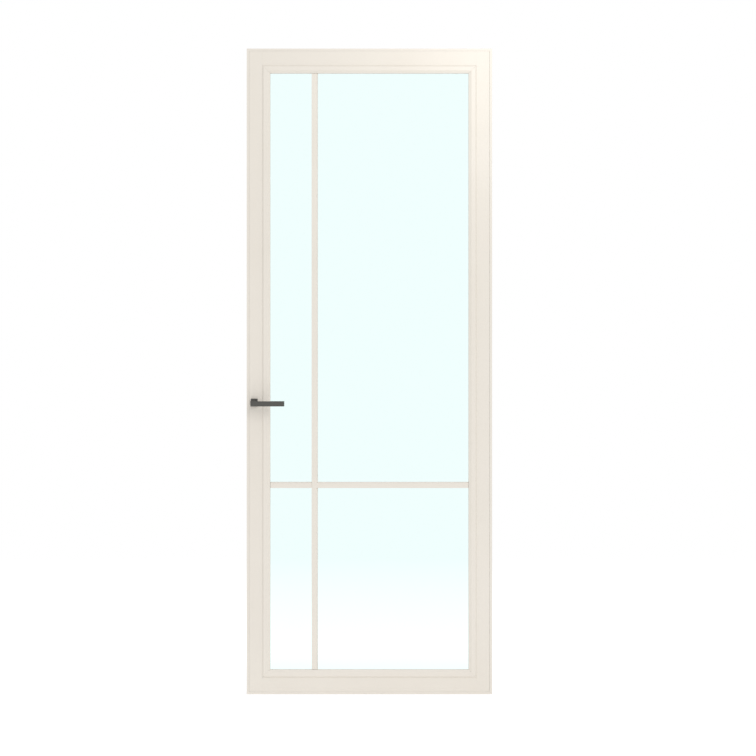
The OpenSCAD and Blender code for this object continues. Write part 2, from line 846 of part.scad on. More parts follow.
// Round wire wound along +X, as one swept tube
module coil(r, wire, turns, l) {
    sides = 6;
    steps = 10 * turns;
    pitch_l = l - wire;
    points = [for (i = [0 : steps], k = [0 : sides - 1])
        let (a = 360 * turns * i / steps, b = 360 * k / sides, ring = r + wire / 2 * cos(b))
        [wire / 2 + pitch_l * i / steps + wire / 2 * sin(b), ring * cos(a), ring * sin(a)]];
    flanks = [for (i = [0 : steps - 1], k = [0 : sides - 1], half = [0, 1])
        let (n = (k + 1) % sides, here = i * sides, next = here + sides)
        half == 0 ? [here + k, here + n, next + n] : [here + k, next + n, next + k]];
    ends = [[for (k = [sides - 1 : -1 : 0]) k], [for (k = [0 : sides - 1]) steps * sides + k]];
    polyhedron(points, concat(flanks, ends));
}

module latch_spring() {
    color(steel) translate([latch_back, mid_y, spring_z])
        coil(spring_r, spring_wire, spring_turns, spring_l);
}

// Handle

module on_both_faces() {
    for (face = ["front", "back"]) translate([0, mid_y, 0]) on_face(face) children();
}

// Rose screws, with Y measured outward from the leaf's middle
module rose_screw_set() {
    on_both_faces() for (s = [-1, 1]) {
        rod_y(rose_screw_d, face_v + base_t - rose_head_h - rose_screw_l, face_v + base_t - rose_head_h,
            handle_x, handle_z + s * rose_screw_z);
        rod_y(rose_head_d, face_v + base_t - rose_head_h, face_v + base_t,
            handle_x, handle_z + s * rose_screw_z);
    }
}

module rose_screws() {
    color(steel) rose_screw_set();
}

module rose_base(face) {
    color(steel) difference() {
        translate([handle_x, mid_y, handle_z]) on_face(face) rotate([-90, 0, 0])
            translate([0, 0, face_v]) linear_extrude(base_t)
                square([rose_w - 2 * rose_wall - 2 * slide_fit, rose_h - 2 * rose_wall - 2 * slide_fit],
                    center = true);
        rod_y(neck_d + 2 * pin_fit, mid_y - bead_v - rose_d, mid_y + bead_v + rose_d, handle_x, handle_z);
        rose_screw_set();
    }
}

module front_rose_base() { rose_base("front"); }
module back_rose_base() { rose_base("back"); }

module rose_cover(face) {
    color(gunmetal) translate([handle_x, mid_y, handle_z]) on_face(face) rotate([-90, 0, 0])
        translate([0, 0, face_v]) difference() {
            linear_extrude(rose_d) rounded_rect(rose_w, rose_h, rose_r);
            translate([0, 0, -eps]) linear_extrude(rose_d - rose_wall + eps)
                square([rose_w - 2 * rose_wall, rose_h - 2 * rose_wall], center = true);
            cylinder(d = neck_d + 2 * soft_fit, h = rose_d + eps);
        }
}

module front_rose() { rose_cover("front"); }
module back_rose() { rose_cover("back"); }

// Straight bar on a round neck, with a fine groove before its tip
module lever(face) {
    bar_v = lever_v - lever_d / 2;
    groove_x = lever_x0 + lever_l - tip_l;
    color(gunmetal) difference() {
        translate([0, mid_y, handle_z]) on_face(face) difference() {
            union() {
                translate([lever_x0, bar_v, -lever_drop]) rotate([0, 90, 0])
                    linear_extrude(lever_l) rounded_rect(lever_h, lever_d, lever_r);
                rod_y(neck_d, face_v + soft_fit, bar_v, handle_x, 0);
            }
            translate([groove_x, bar_v, -lever_drop]) rotate([0, 90, 0])
                linear_extrude(groove_w) difference() {
                    square([2 * lever_h, 2 * lever_d], center = true);
                    rounded_rect(lever_h - 2 * groove_d, lever_d - 2 * groove_d, lever_r - groove_d);
                }
        }
        spindle_bar(spindle_a + 2 * pin_fit, -spindle_v, spindle_v);
        grub_screw_pair();
    }
}

module front_lever() { lever("front"); }
module back_lever() { lever("back"); }

module spindle() {
    color(steel) spindle_bar(spindle_a, -spindle_v, spindle_v);
}

module grub_screw_pair() {
    on_both_faces() rod_z(grub_d, handle_z - neck_d / 2, handle_z - spindle_a / 2, handle_x, grub_v);
}

module grub_screws() {
    color(steel) grub_screw_pair();
}

lock_jamb();
hinge_jamb();
frame_head();
threshold();
lock_side_seal();
hinge_side_seal();
head_seal();
strike_plate();
plate_screws();
frame_corner_screws();
bottom_pivot_plate();
bottom_pivot_pin();
thrust_washer();
top_pivot_bush();
lock_stile();
hinge_stile();
top_rail();
bottom_rail();
corner_cleats();
cleat_screws();
stile_end_caps();
bottom_pivot_block();
bottom_pivot_bush();
top_pivot_block();
top_pivot_pin();
glass_pane();
setting_blocks();
front_gasket();
back_gasket();
front_bead_left();
front_bead_right();
front_bead_top();
front_bead_bottom();
back_bead_left();
back_bead_right();
back_bead_top();
back_bead_bottom();
front_bar_upright();
front_bar_left();
front_bar_right();
back_bar_upright();
back_bar_left();
back_bar_right();
lock_faceplate();
faceplate_screws();
lock_mount_blocks();
lock_case();
lock_cover();
front_rose_base();
back_rose_base();
front_rose();
back_rose();
rose_screws();
front_lever();
back_lever();
spindle();
grub_screws();
follower();
latch_bolt();
latch_spring();
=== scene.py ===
import json
import math

import bmesh
import bpy
from mathutils import Matrix, Vector


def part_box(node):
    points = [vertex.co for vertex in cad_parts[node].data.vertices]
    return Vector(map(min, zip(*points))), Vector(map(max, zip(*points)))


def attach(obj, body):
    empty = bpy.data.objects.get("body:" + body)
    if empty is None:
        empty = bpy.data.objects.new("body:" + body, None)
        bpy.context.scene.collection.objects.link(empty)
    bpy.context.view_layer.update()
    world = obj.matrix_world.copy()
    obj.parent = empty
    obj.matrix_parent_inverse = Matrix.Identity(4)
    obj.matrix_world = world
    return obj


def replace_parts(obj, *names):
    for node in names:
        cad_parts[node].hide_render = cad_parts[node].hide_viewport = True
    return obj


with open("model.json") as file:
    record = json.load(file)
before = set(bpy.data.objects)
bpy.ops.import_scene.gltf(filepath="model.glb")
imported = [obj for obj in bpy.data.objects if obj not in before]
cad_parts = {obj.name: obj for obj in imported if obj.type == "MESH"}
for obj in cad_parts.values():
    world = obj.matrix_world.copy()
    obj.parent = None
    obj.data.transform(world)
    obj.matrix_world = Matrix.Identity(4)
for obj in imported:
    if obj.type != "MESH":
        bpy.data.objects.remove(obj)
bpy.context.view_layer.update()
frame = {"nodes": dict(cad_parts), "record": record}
nodes = frame["nodes"]
scene = bpy.context.scene
scene.view_settings.view_transform = "Standard"
mm = 0.001
print("door loaded,", len(nodes), "nodes")


def linear(hexCode):  # sRGB hex to linear red, green, blue, alpha
    parts = [int(hexCode[i:i + 2], 16) / 255 for i in (1, 3, 5)]
    return tuple(c / 12.92 if c <= 0.04045 else ((c + 0.055) / 1.055) ** 2.4 for c in parts) + (1.0,)


def repeats(sizeMm):  # a pattern's scale: how often its size fits in a metre
    return 1000 / sizeMm


def addNode(tree, kind, settings=None, sockets=None):  # one node, its settings, its values and links
    node = tree.nodes.new(kind)
    for key, value in (settings or {}).items():
        setattr(node, key, value)
    for key, value in (sockets or {}).items():
        if isinstance(value, bpy.types.NodeSocket):
            tree.links.new(value, node.inputs[key])
        else:
            node.inputs[key].default_value = value
    return node


def newMaterial(name):  # a material with an empty node tree
    material = bpy.data.materials.new(name)
    material.use_nodes = True
    material.node_tree.nodes.clear()
    return material


# The finishes

# Polyester powder coat on extruded aluminium, sprayed and baked: an even satin cream with soft orange peel
powderCoat = {
    "cream": "#E9E3D8",
    "shade": "#E3DCD0",  # where the film lies a little thicker
    "shadeMost": 0.55,
    "cloudMm": 260,
    "cloudSpan": (0.3, 0.75),  # the middle of the noise, where most of it lies
    "peelMm": 5.0,  # real peel is 1.5 to 2 mm, drawn coarser so that it shows
    "peelHeightMm": 0.05,
    "peelStrength": 0.35,
    "grainMm": 0.9,  # uneven gloss from powder grains of 0.05 mm, drawn coarser
    "grainSpan": (0.3, 0.7),
    "rough": (0.38, 0.50),
    "ior": 1.5,
}


def makePowderCoat(spec):
    mat = newMaterial("powder coated aluminium")
    tree = mat.node_tree
    place = addNode(tree, "ShaderNodeTexCoord").outputs["Object"]
    cloud = addNode(tree, "ShaderNodeTexNoise", None,
                    {"Vector": place, "Scale": repeats(spec["cloudMm"]), "Detail": 3.0, "Roughness": 0.55})
    peel = addNode(tree, "ShaderNodeTexNoise", None,
                   {"Vector": place, "Scale": repeats(spec["peelMm"]), "Detail": 2.0, "Roughness": 0.4})
    grain = addNode(tree, "ShaderNodeTexNoise", None,
                    {"Vector": place, "Scale": repeats(spec["grainMm"]), "Detail": 1.0})
    film = addNode(tree, "ShaderNodeMapRange", None,
                   {"Value": cloud.outputs[0], "From Min": spec["cloudSpan"][0],
                    "From Max": spec["cloudSpan"][1], "To Min": 0.0, "To Max": spec["shadeMost"]})
    tone = addNode(tree, "ShaderNodeMix", {"data_type": "RGBA"},
                   {0: film.outputs[0], 6: linear(spec["cream"]), 7: linear(spec["shade"])})
    gloss = addNode(tree, "ShaderNodeMapRange", None,
                    {"Value": grain.outputs[0], "From Min": spec["grainSpan"][0],
                     "From Max": spec["grainSpan"][1], "To Min": spec["rough"][0], "To Max": spec["rough"][1]})
    skin = addNode(tree, "ShaderNodeBump", None,
                   {"Height": peel.outputs[0], "Strength": spec["peelStrength"],
                    "Distance": spec["peelHeightMm"] * mm})
    shader = addNode(tree, "ShaderNodeBsdfPrincipled", None,
                     {"Base Color": tone.outputs[2], "Roughness": gloss.outputs[0],
                      "Normal": skin.outputs[0], "IOR": spec["ior"]})
    addNode(tree, "ShaderNodeOutputMaterial", None, {"Surface": shader.outputs[0]})
    return mat


# Zinc alloy casting, brushed along its length and coated dark grey: soft dull sheen with fine lines along it
darkLever = {
    "bright": "#605F5C", "dull": "#545350", "rough": (0.32, 0.50), "detail": 3.0,
    "lineMm": 0.35,  # brush lines, drawn coarser than the real 0.05 mm
    "strokeMm": 40, "strokeAxis": 0, "markHeightMm": 0.02, "markStrength": 0.2,
}

# Stainless steel strip, brushed upright: bright grey with fine vertical lines
stainlessStrip = {
    "bright": "#C9CBCA", "dull": "#A9ABAB", "rough": (0.20, 0.40), "detail": 4.0,
    "lineMm": 0.4,  # brush lines, drawn coarser than the real 0.05 mm
    "strokeMm": 60, "strokeAxis": 2, "markHeightMm": 0.03, "markStrength": 0.2,
}

# Steel, turned or stamped and zinc plated: pale grey with a faint cloudy bloom
zincSteel = {
    "bright": "#BFC3C4", "dull": "#9EA3A6", "rough": (0.28, 0.48), "detail": 4.0,
    "lineMm": 6.0, "strokeMm": 6.0, "strokeAxis": 0, "markHeightMm": 0.03, "markStrength": 0.2,
}

# Aluminium casting, as cast: dull light grey with a sandy skin
castCleat = {
    "bright": "#BCBEC0", "dull": "#A2A4A6", "rough": (0.45, 0.65), "detail": 4.0,
    "lineMm": 1.6,  # sand grains of 0.3 mm, drawn coarser
    "strokeMm": 1.6, "strokeAxis": 0, "markHeightMm": 0.03, "markStrength": 0.2,
}

# Bearing bronze, cut from drawn tube: warm brown yellow with fine drawing lines along the tube
drawnBronze = {
    "bright": "#C49A55", "dull": "#A67C3C", "rough": (0.23, 0.43), "detail": 4.0,
    "lineMm": 0.8,  # drawing lines, drawn coarser than the real 0.1 mm
    "strokeMm": 30, "strokeAxis": 2, "markHeightMm": 0.03, "markStrength": 0.2,
}


def makeMetal(name, spec):  # marks stretched along one axis, or even where line and stroke are alike
    mat = newMaterial(name)
    tree = mat.node_tree
    place = addNode(tree, "ShaderNodeTexCoord").outputs["Object"]
    scale = [repeats(spec["lineMm"])] * 3
    scale[spec["strokeAxis"]] = repeats(spec["strokeMm"])
    along = addNode(tree, "ShaderNodeMapping", None, {"Vector": place, "Scale": scale})
    mark = addNode(tree, "ShaderNodeTexNoise", None,
                   {"Vector": along.outputs[0], "Scale": 1.0, "Detail": spec["detail"], "Roughness": 0.6})
    tone = addNode(tree, "ShaderNodeMix", {"data_type": "RGBA"},
                   {0: mark.outputs[0], 6: linear(spec["bright"]), 7: linear(spec["dull"])})
    gloss = addNode(tree, "ShaderNodeMapRange", None,
                    {"Value": mark.outputs[0], "To Min": spec["rough"][0], "To Max": spec["rough"][1]})
    skin = addNode(tree, "ShaderNodeBump", None,
                   {"Height": mark.outputs[0], "Strength": spec["markStrength"],
                    "Distance": spec["markHeightMm"] * mm})
    shader = addNode(tree, "ShaderNodeBsdfPrincipled", None,
                     {"Base Color": tone.outputs[2], "Roughness": gloss.outputs[0], "Metallic": 1.0,
                      "Normal": skin.outputs[0]})
    addNode(tree, "ShaderNodeOutputMaterial", None, {"Surface": shader.outputs[0]})
    return mat


# EPDM rubber, extruded in pale cream grey: matt with a dusty bloom and a fine grain
paleRubber = {
    "grey": "#DDD9CF", "bloom": "#E4E1D9", "rough": (0.64, 0.84), "ior": 1.5, "bloomMm": 35,
    "grainMm": 1.2,  # drawn coarser than the real 0.1 mm
    "grainHeightMm": 0.04, "grainStrength": 0.3,
}

# Nylon, moulded off white: dull with a fine spark-eroded grain
nylonCap = {
    "grey": "#D8D6D0", "bloom": "#DEDCD7", "rough": (0.47, 0.67), "ior": 1.5, "bloomMm": 20,
    "grainMm": 0.8,  # drawn coarser than the real 0.1 mm
    "grainHeightMm": 0.04, "grainStrength": 0.3,
}


def makeSoftPlastic(name, spec):
    mat = newMaterial(name)
    tree = mat.node_tree
    place = addNode(tree, "ShaderNodeTexCoord").outputs["Object"]
    bloom = addNode(tree, "ShaderNodeTexNoise", None,
                    {"Vector": place, "Scale": repeats(spec["bloomMm"]), "Detail": 4.0})
    grain = addNode(tree, "ShaderNodeTexNoise", None,
                    {"Vector": place, "Scale": repeats(spec["grainMm"]), "Detail": 2.0})
    tone = addNode(tree, "ShaderNodeMix", {"data_type": "RGBA"},
                   {0: bloom.outputs[0], 6: linear(spec["grey"]), 7: linear(spec["bloom"])})
    gloss = addNode(tree, "ShaderNodeMapRange", None,
                    {"Value": grain.outputs[0], "To Min": spec["rough"][0], "To Max": spec["rough"][1]})
    skin = addNode(tree, "ShaderNodeBump", None,
                   {"Height": grain.outputs[0], "Strength": spec["grainStrength"],
                    "Distance": spec["grainHeightMm"] * mm})
    shader = addNode(tree, "ShaderNodeBsdfPrincipled", None,
                     {"Base Color": tone.outputs[2], "Roughness": gloss.outputs[0],
                      "Normal": skin.outputs[0], "IOR": spec["ior"]})
    addNode(tree, "ShaderNodeOutputMaterial", None, {"Surface": shader.outputs[0]})
    return mat


# Float glass, tempered: clear with a breath of cyan, and a very slight roller wave in its reflections
floatGlass = {"tint": "#F0FFFE", "ior": 1.52, "waveMm": 220, "waveHeightMm": 0.02, "waveStrength": 0.1}


def makeFloatGlass(spec):
    mat = newMaterial("tempered float glass")
    tree = mat.node_tree
    place = addNode(tree, "ShaderNodeTexCoord").outputs["Object"]
    wave = addNode(tree, "ShaderNodeTexNoise", None,
                   {"Vector": place, "Scale": repeats(spec["waveMm"]), "Detail": 1.0})
    skin = addNode(tree, "ShaderNodeBump", None,
                   {"Height": wave.outputs[0], "Strength": spec["waveStrength"],
                    "Distance": spec["waveHeightMm"] * mm})
    shader = addNode(tree, "ShaderNodeBsdfPrincipled", None,
                     {"Base Color": linear(spec["tint"]), "Roughness": 0.0, "IOR": spec["ior"],
                      "Transmission Weight": 1.0, "Normal": skin.outputs[0]})
    addNode(tree, "ShaderNodeOutputMaterial", None, {"Surface": shader.outputs[0]})
    return mat


finishes = {  # by the record's material slots
    "powder_coat": makePowderCoat(powderCoat),
    "gunmetal": makeMetal("brushed dark coated zinc", darkLever),
    "stainless": makeMetal("brushed stainless strip", stainlessStrip),
    "zinc_steel": makeMetal("zinc plated steel", zincSteel),
    "cast_aluminium": makeMetal("cast aluminium", castCleat),
    "bronze": makeMetal("drawn bearing bronze", drawnBronze),
    "seal_rubber": makeSoftPlastic("extruded pale rubber", paleRubber),
    "cap_plastic": makeSoftPlastic("moulded nylon", nylonCap),
    "clear_glass": makeFloatGlass(floatGlass),
}
for part in frame["record"]["subparts"]:
    mesh = nodes[part["node"]].data
    mesh.materials.clear()
    mesh.materials.append(finishes[part["material_slot"]])
nodes["glass_pane"].visible_shadow = False  # clear glass lets the lamps' light through
nodes["glass_pane"].visible_diffuse = False  # and the soft light, so the beads beside it stay even
print("finishes set:", ", ".join(sorted(finishes)))

# Softened edges, as an extrusion, a casting and a stamping have them

edgeRule = {
    "beadMm": 0.5,
    "barMm": 0.8,
    "segments": 2,
    "joinMm": 0.002,
    "flatDeg": 0.3,
    "sharpDeg": 30,  # edges from here on are broken
    "smoothDeg": 40,  # edges up to here shade smoothly
}
edgeBreak = {  # millimetres
    "lock_jamb": 0.3, "hinge_jamb": 0.3, "frame_head": 0.3, "threshold": 0.3,
    "lock_stile": 0.3, "hinge_stile": 0.3, "top_rail": 0.3, "bottom_rail": 0.3,
    "front_lever": 0.4, "back_lever": 0.4, "front_rose": 0.5, "back_rose": 0.5,
    "strike_plate": 0.25, "lock_faceplate": 0.25, "bottom_pivot_plate": 0.3, "latch_bolt": 0.4,
}
for face in ("front", "back"):
    for side in ("left", "right", "top", "bottom"):
        edgeBreak[face + "_bead_" + side] = edgeRule["beadMm"]
    for bar in ("upright", "left", "right"):
        edgeBreak[face + "_bar_" + bar] = edgeRule["barMm"]
thinPlates = ("strike_plate", "lock_faceplate", "front_rose", "back_rose")  # their triangles bevel cleanly


def makeShadeRule(limitDeg):  # smooth over gentle edges, sharp over the others
    rule = bpy.data.node_groups.new("shade by angle", "GeometryNodeTree")
    rule.interface.new_socket("Geometry", in_out="INPUT", socket_type="NodeSocketGeometry")
    rule.interface.new_socket("Geometry", in_out="OUTPUT", socket_type="NodeSocketGeometry")
    entry = addNode(rule, "NodeGroupInput")
    angle = addNode(rule, "GeometryNodeInputMeshEdgeAngle")
    gentle = addNode(rule, "FunctionNodeCompare", {"data_type": "FLOAT", "operation": "LESS_THAN"},
                     {0: angle.outputs[0], 1: math.radians(limitDeg)})
    faces = addNode(rule, "GeometryNodeSetShadeSmooth", {"domain": "FACE"}, {"Geometry": entry.outputs[0]})
    edges = addNode(rule, "GeometryNodeSetShadeSmooth", {"domain": "EDGE"},
                    {"Geometry": faces.outputs[0], "Shade Smooth": gentle.outputs[0]})
    addNode(rule, "NodeGroupOutput", None, {0: edges.outputs[0]})
    return rule


shadeRule = makeShadeRule(edgeRule["smoothDeg"])
for name, width in edgeBreak.items():
    chain = nodes[name].modifiers
    join = chain.new("joined faces", "WELD")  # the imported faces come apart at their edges
    join.merge_threshold = edgeRule["joinMm"] * mm
    if name not in thinPlates:
        whole = chain.new("whole faces", "DECIMATE")  # one face for each flat, so the bevel has no slivers
        whole.decimate_type = "DISSOLVE"
        whole.angle_limit = math.radians(edgeRule["flatDeg"])
    soften = chain.new("edge break", "BEVEL")
    soften.width = width * mm
    soften.segments = edgeRule["segments"]
    soften.limit_method = "ANGLE"
    soften.angle_limit = math.radians(edgeRule["sharpDeg"])
    soften.use_clamp_overlap = True
    soften.face_strength_mode = "FSTR_ALL"  # flat faces lead the shading
    chain.new("shading", "NODES").node_group = shadeRule
    even = chain.new("even shading", "WEIGHTED_NORMAL")
    even.keep_sharp = True
    even.use_face_influence = True
print("edges softened on", len(edgeBreak), "pieces")


def newPiece(name, bm, body, slot):  # a mesh that rides on a body and takes a slot's finish
    bmesh.ops.recalc_face_normals(bm, faces=bm.faces)
    mesh = bpy.data.meshes.new(name)
    bm.to_mesh(mesh)
    bm.free()
    mesh.materials.append(finishes[slot])
    piece = bpy.data.objects.new(name, mesh)
    scene.collection.objects.link(piece)
    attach(piece, body)
    return piece


# Screws with their drives, in place of the plain ones

screwDrives = {  # millimetres; a six-lobe star, or a hexagon where the wave is low
    "plate_screws": {"piece": "strike_and_pivot_screws", "body": "frame",
                     "drive": 3.0, "wave": 0.16, "deep": 1.3},
    "faceplate_screws": {"piece": "lock_face_screws", "body": "leaf",
                         "drive": 3.0, "wave": 0.16, "deep": 1.6},
    "frame_corner_screws": {"piece": "jamb_corner_screws", "body": "frame",
                            "drive": 2.4, "wave": 0.16, "deep": 1.2},
    "grub_screws": {"piece": "lever_grub_screws", "body": "handle",
                    "drive": 2.2, "wave": 0.07, "deep": 1.4},
}
screwEdge = {
    "headBreak": 0.2, "driveBreak": 0.12, "endBreak": 0.3,  # millimetres
    "rimMm": 0.02,  # how near to an end a point counts as on it
    "lobes": 6,
    "driveTaper": 0.92,  # the drive's width at its bottom, as a share
    "round": 48,
}


def looseSolids(node):  # corner points of each separate solid of a CAD node
    bm = bmesh.new()
    bm.from_mesh(nodes[node].data)
    bmesh.ops.remove_doubles(bm, verts=bm.verts, dist=edgeRule["joinMm"] * mm)
    bm.verts.index_update()
    found, solids = set(), []
    for first in bm.verts:
        if first.index in found:
            continue
        found.add(first.index)
        queue, points = [first], []
        while queue:
            vert = queue.pop()
            points.append(vert.co.copy())
            for edge in vert.link_edges:
                other = edge.other_vert(vert)
                if other.index not in found:
                    found.add(other.index)
                    queue.append(other)
        solids.append(points)
    bm.free()
    return solids


def screwFacts(points):  # the head face's place, the way in, then head, shank and length in millimetres
    low = Vector([min(p[k] for p in points) for k in range(3)])
    high = Vector([max(p[k] for p in points) for k in range(3)])
    size = high - low
    axis = min(range(3), key=lambda k: abs(size[k - 1] - size[k - 2]))  # it is as wide as deep across its axis
    middle = (low + high) / 2
    rim = screwEdge["rimMm"] * mm

    def reach(end):
        ring = [p - middle for p in points if abs(p[axis] - end) < rim]
        return max(math.hypot(p[axis - 1], p[axis - 2]) for p in ring)

    headLow = reach(low[axis]) >= reach(high[axis]) - rim
    head, end = (low, high) if headLow else (high, low)
    place = middle.copy()
    place[axis] = head[axis]
    way = Vector((0, 0, 0))
    way[axis] = 1 if headLow else -1
    return place, way, 2 * reach(head[axis]) / mm, 2 * reach(end[axis]) / mm, size[axis] / mm


def screwRings(spec, head, shank, length):  # up from the tip, over the head and down into the drive
    headBreak, driveBreak, endBreak = (screwEdge[key] for key in ("headBreak", "driveBreak", "endBreak"))
    neck = max((head - shank) / 2, 2 * endBreak)

    def plain(radius):
        return lambda angle: radius

    def star(share, more):
        radius = share * spec["drive"] / 2
        return lambda angle: radius * (1 + spec["wave"] * math.cos(screwEdge["lobes"] * angle)) + more

    return [
        (plain(shank / 2 - endBreak), -length),
        (plain(shank / 2), -length + endBreak),
        (plain(shank / 2), -neck),
        (plain(head / 2 - headBreak / 2), -headBreak / 2),
        (plain(head / 2 - headBreak), 0.0),
        (star(1.0, driveBreak), 0.0),
        (star(1.0, 0.0), -driveBreak),
        (star(screwEdge["driveTaper"], 0.0), -spec["deep"]),
    ]


def ringLoft(bm, rings, matrix):  # rings of (radius by angle, height) joined into a closed turned shape
    count = screwEdge["round"]
    last = None
    for radius, height in rings:
        ring = []
        for i in range(count):
            a = 2 * math.pi * i / count
            point = Vector((radius(a) * math.cos(a), radius(a) * math.sin(a), height))
            ring.append(bm.verts.new(matrix @ point))
        if last is None:
            bm.faces.new(list(reversed(ring)))
        else:
            for i in range(count):
                j = (i + 1) % count
                bm.faces.new((last[i], last[j], ring[j], ring[i]))
        last = ring
    bm.faces.new(last)


for node, spec in screwDrives.items():
    bm = bmesh.new()
    for points in looseSolids(node):
        place, way, head, shank, length = screwFacts(points)
        turn = Vector((0, 0, -1)).rotation_difference(way).to_matrix().to_4x4()
        here = Matrix.Translation(place) @ turn @ Matrix.Scale(mm, 4)
        ringLoft(bm, screwRings(spec, head, shank, length), here)
    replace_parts(newPiece(spec["piece"], bm, spec["body"], "zinc_steel"), node)
print("screws made:", len(screwDrives), "kinds")

# Thin rubber fins on the frame's front lip, which close the gap to the leaf

gapFins = {  # millimetres, and the steps of each curve
    "wide": 0.75,
    "deep": 1.2,
    "sunk": 0.1,  # behind the frame's front
    "frontSlice": 0.1,  # what counts as the frame's front
    "nose": 0.2,
    "noseSteps": 4,
    "swingGap": 0.06,  # room for the leaf's edge as it swings
    "swingSteps": 8,
    "tip": 0.1,
}
swing = next(joint for joint in frame["record"]["behaviour"]["joints"] if joint["name"] == "leaf_swing")
pivotX, pivotY = swing["pos_m"][:2]


def lipEdge(node, axis, pick):  # how far a frame piece reaches towards the leaf at its front
    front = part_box(node)[0].y + gapFins["frontSlice"] * mm
    return pick(v.co[axis] for v in nodes[node].data.vertices if v.co.y < front)


lipLeft = lipEdge("lock_jamb", 0, max)
lipRight = lipEdge("hinge_jamb", 0, min)
lipTop = lipEdge("frame_head", 2, min)
lipBottom = lipEdge("threshold", 2, max)
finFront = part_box("lock_jamb")[0].y + gapFins["sunk"] * mm
finWide = gapFins["wide"] * mm


def finNose(spec):  # the rounded front corner beside the lip, across from it and back from the front
    turns = [math.pi / 2 * i / spec["noseSteps"] for i in range(spec["noseSteps"] + 1)]
    return [(spec["nose"] * (1 - math.cos(a)), spec["nose"] * (1 - math.sin(a))) for a in turns]


def plainFin(spec):  # a strip with two round corners
    nose = finNose(spec)
    otherNose = [(spec["wide"] - u, v) for u, v in reversed(nose)]
    return nose + otherNose + [(spec["wide"], spec["deep"]), (0, spec["deep"])]


def hollowFin(spec):  # clear of the round path of the leaf's edge, and of its front when it stands open
    edge = [math.hypot(v.co.x - pivotX, v.co.y - pivotY) for v in nodes["hinge_stile"].data.vertices
            if v.co.x > pivotX and v.co.y < pivotY]
    reach = max(edge) + spec["swingGap"] * mm
    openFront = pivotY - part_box("hinge_stile")[0].y + spec["swingGap"] * mm
    hollow = []
    for i in range(spec["swingSteps"] + 1):
        back = spec["tip"] + (spec["deep"] - spec["tip"]) * i / spec["swingSteps"]
        across = math.sqrt(reach ** 2 - (finFront + back * mm - pivotY) ** 2)
        hollow.append(((lipRight - pivotX - max(across, openFront)) / mm, back))
    return finNose(spec) + [(hollow[0][0] - spec["tip"], 0)] + hollow + [(0, spec["deep"])]


finPlaces = {  # start, end, the way from the lip to the leaf, and the section
    "lock_gap_fin": ((lipLeft, lipBottom), (lipLeft, lipTop), (1, 0), plainFin(gapFins)),
    "hinge_gap_fin": ((lipRight, lipBottom + finWide), (lipRight, lipTop - finWide), (-1, 0),
                      hollowFin(gapFins)),
    "head_gap_fin": ((lipLeft + finWide, lipTop), (lipRight, lipTop), (0, -1), plainFin(gapFins)),
    "sill_gap_fin": ((lipLeft + finWide, lipBottom), (lipRight, lipBottom), (0, 1), plainFin(gapFins)),
}
for name, (start, end, way, section) in finPlaces.items():
    bm = bmesh.new()
    rings = []
    for x, z in (start, end):
        rings.append([bm.verts.new((x + way[0] * u * mm, finFront + v * mm, z + way[1] * u * mm))
                      for u, v in section])
    count = len(section)
    for i in range(count):
        j = (i + 1) % count
        bm.faces.new((rings[0][i], rings[0][j], rings[1][j], rings[1][i]))
    bm.faces.new(rings[0])
    bm.faces.new(rings[1])
    newPiece(name, bm, "frame", "seal_rubber")
print("gap fins made:", len(finPlaces))

# Floor, light and camera

studioFloor = {  # metres
    "size": 160.0,
    "squares": 6,
    "drop": 0.0005,  # a hair under the threshold
    "white": "#FFFFFF",
    "paint": "#D6D6D6",  # takes the shadow close to the door
    "nearGlow": 0.45,
    "nearSoft": 0.41,  # soft light from the floor close to the door
    "paintedLightPool": 1.16,  # a painted pool of light on the floor behind the door, where the glass loses its tint
    "softLevel": 0.85,  # what the far floor gives back as soft light
    "nearReach": (1.4, 3.6),  # from the door's middle
    "poolReach": (4.5, 18.0),
}


def whenSeen(tree):  # 1 for rays from the eye, in glass and in gloss, 0 for soft light
    ray = addNode(tree, "ShaderNodeLightPath")
    seen = addNode(tree, "ShaderNodeMath", {"operation": "MAXIMUM"},
                   {0: ray.outputs["Is Camera Ray"], 1: ray.outputs["Is Transmission Ray"]})
    return addNode(tree, "ShaderNodeMath", {"operation": "MAXIMUM"},
                   {0: seen.outputs[0], 1: ray.outputs["Is Glossy Ray"]}).outputs[0]


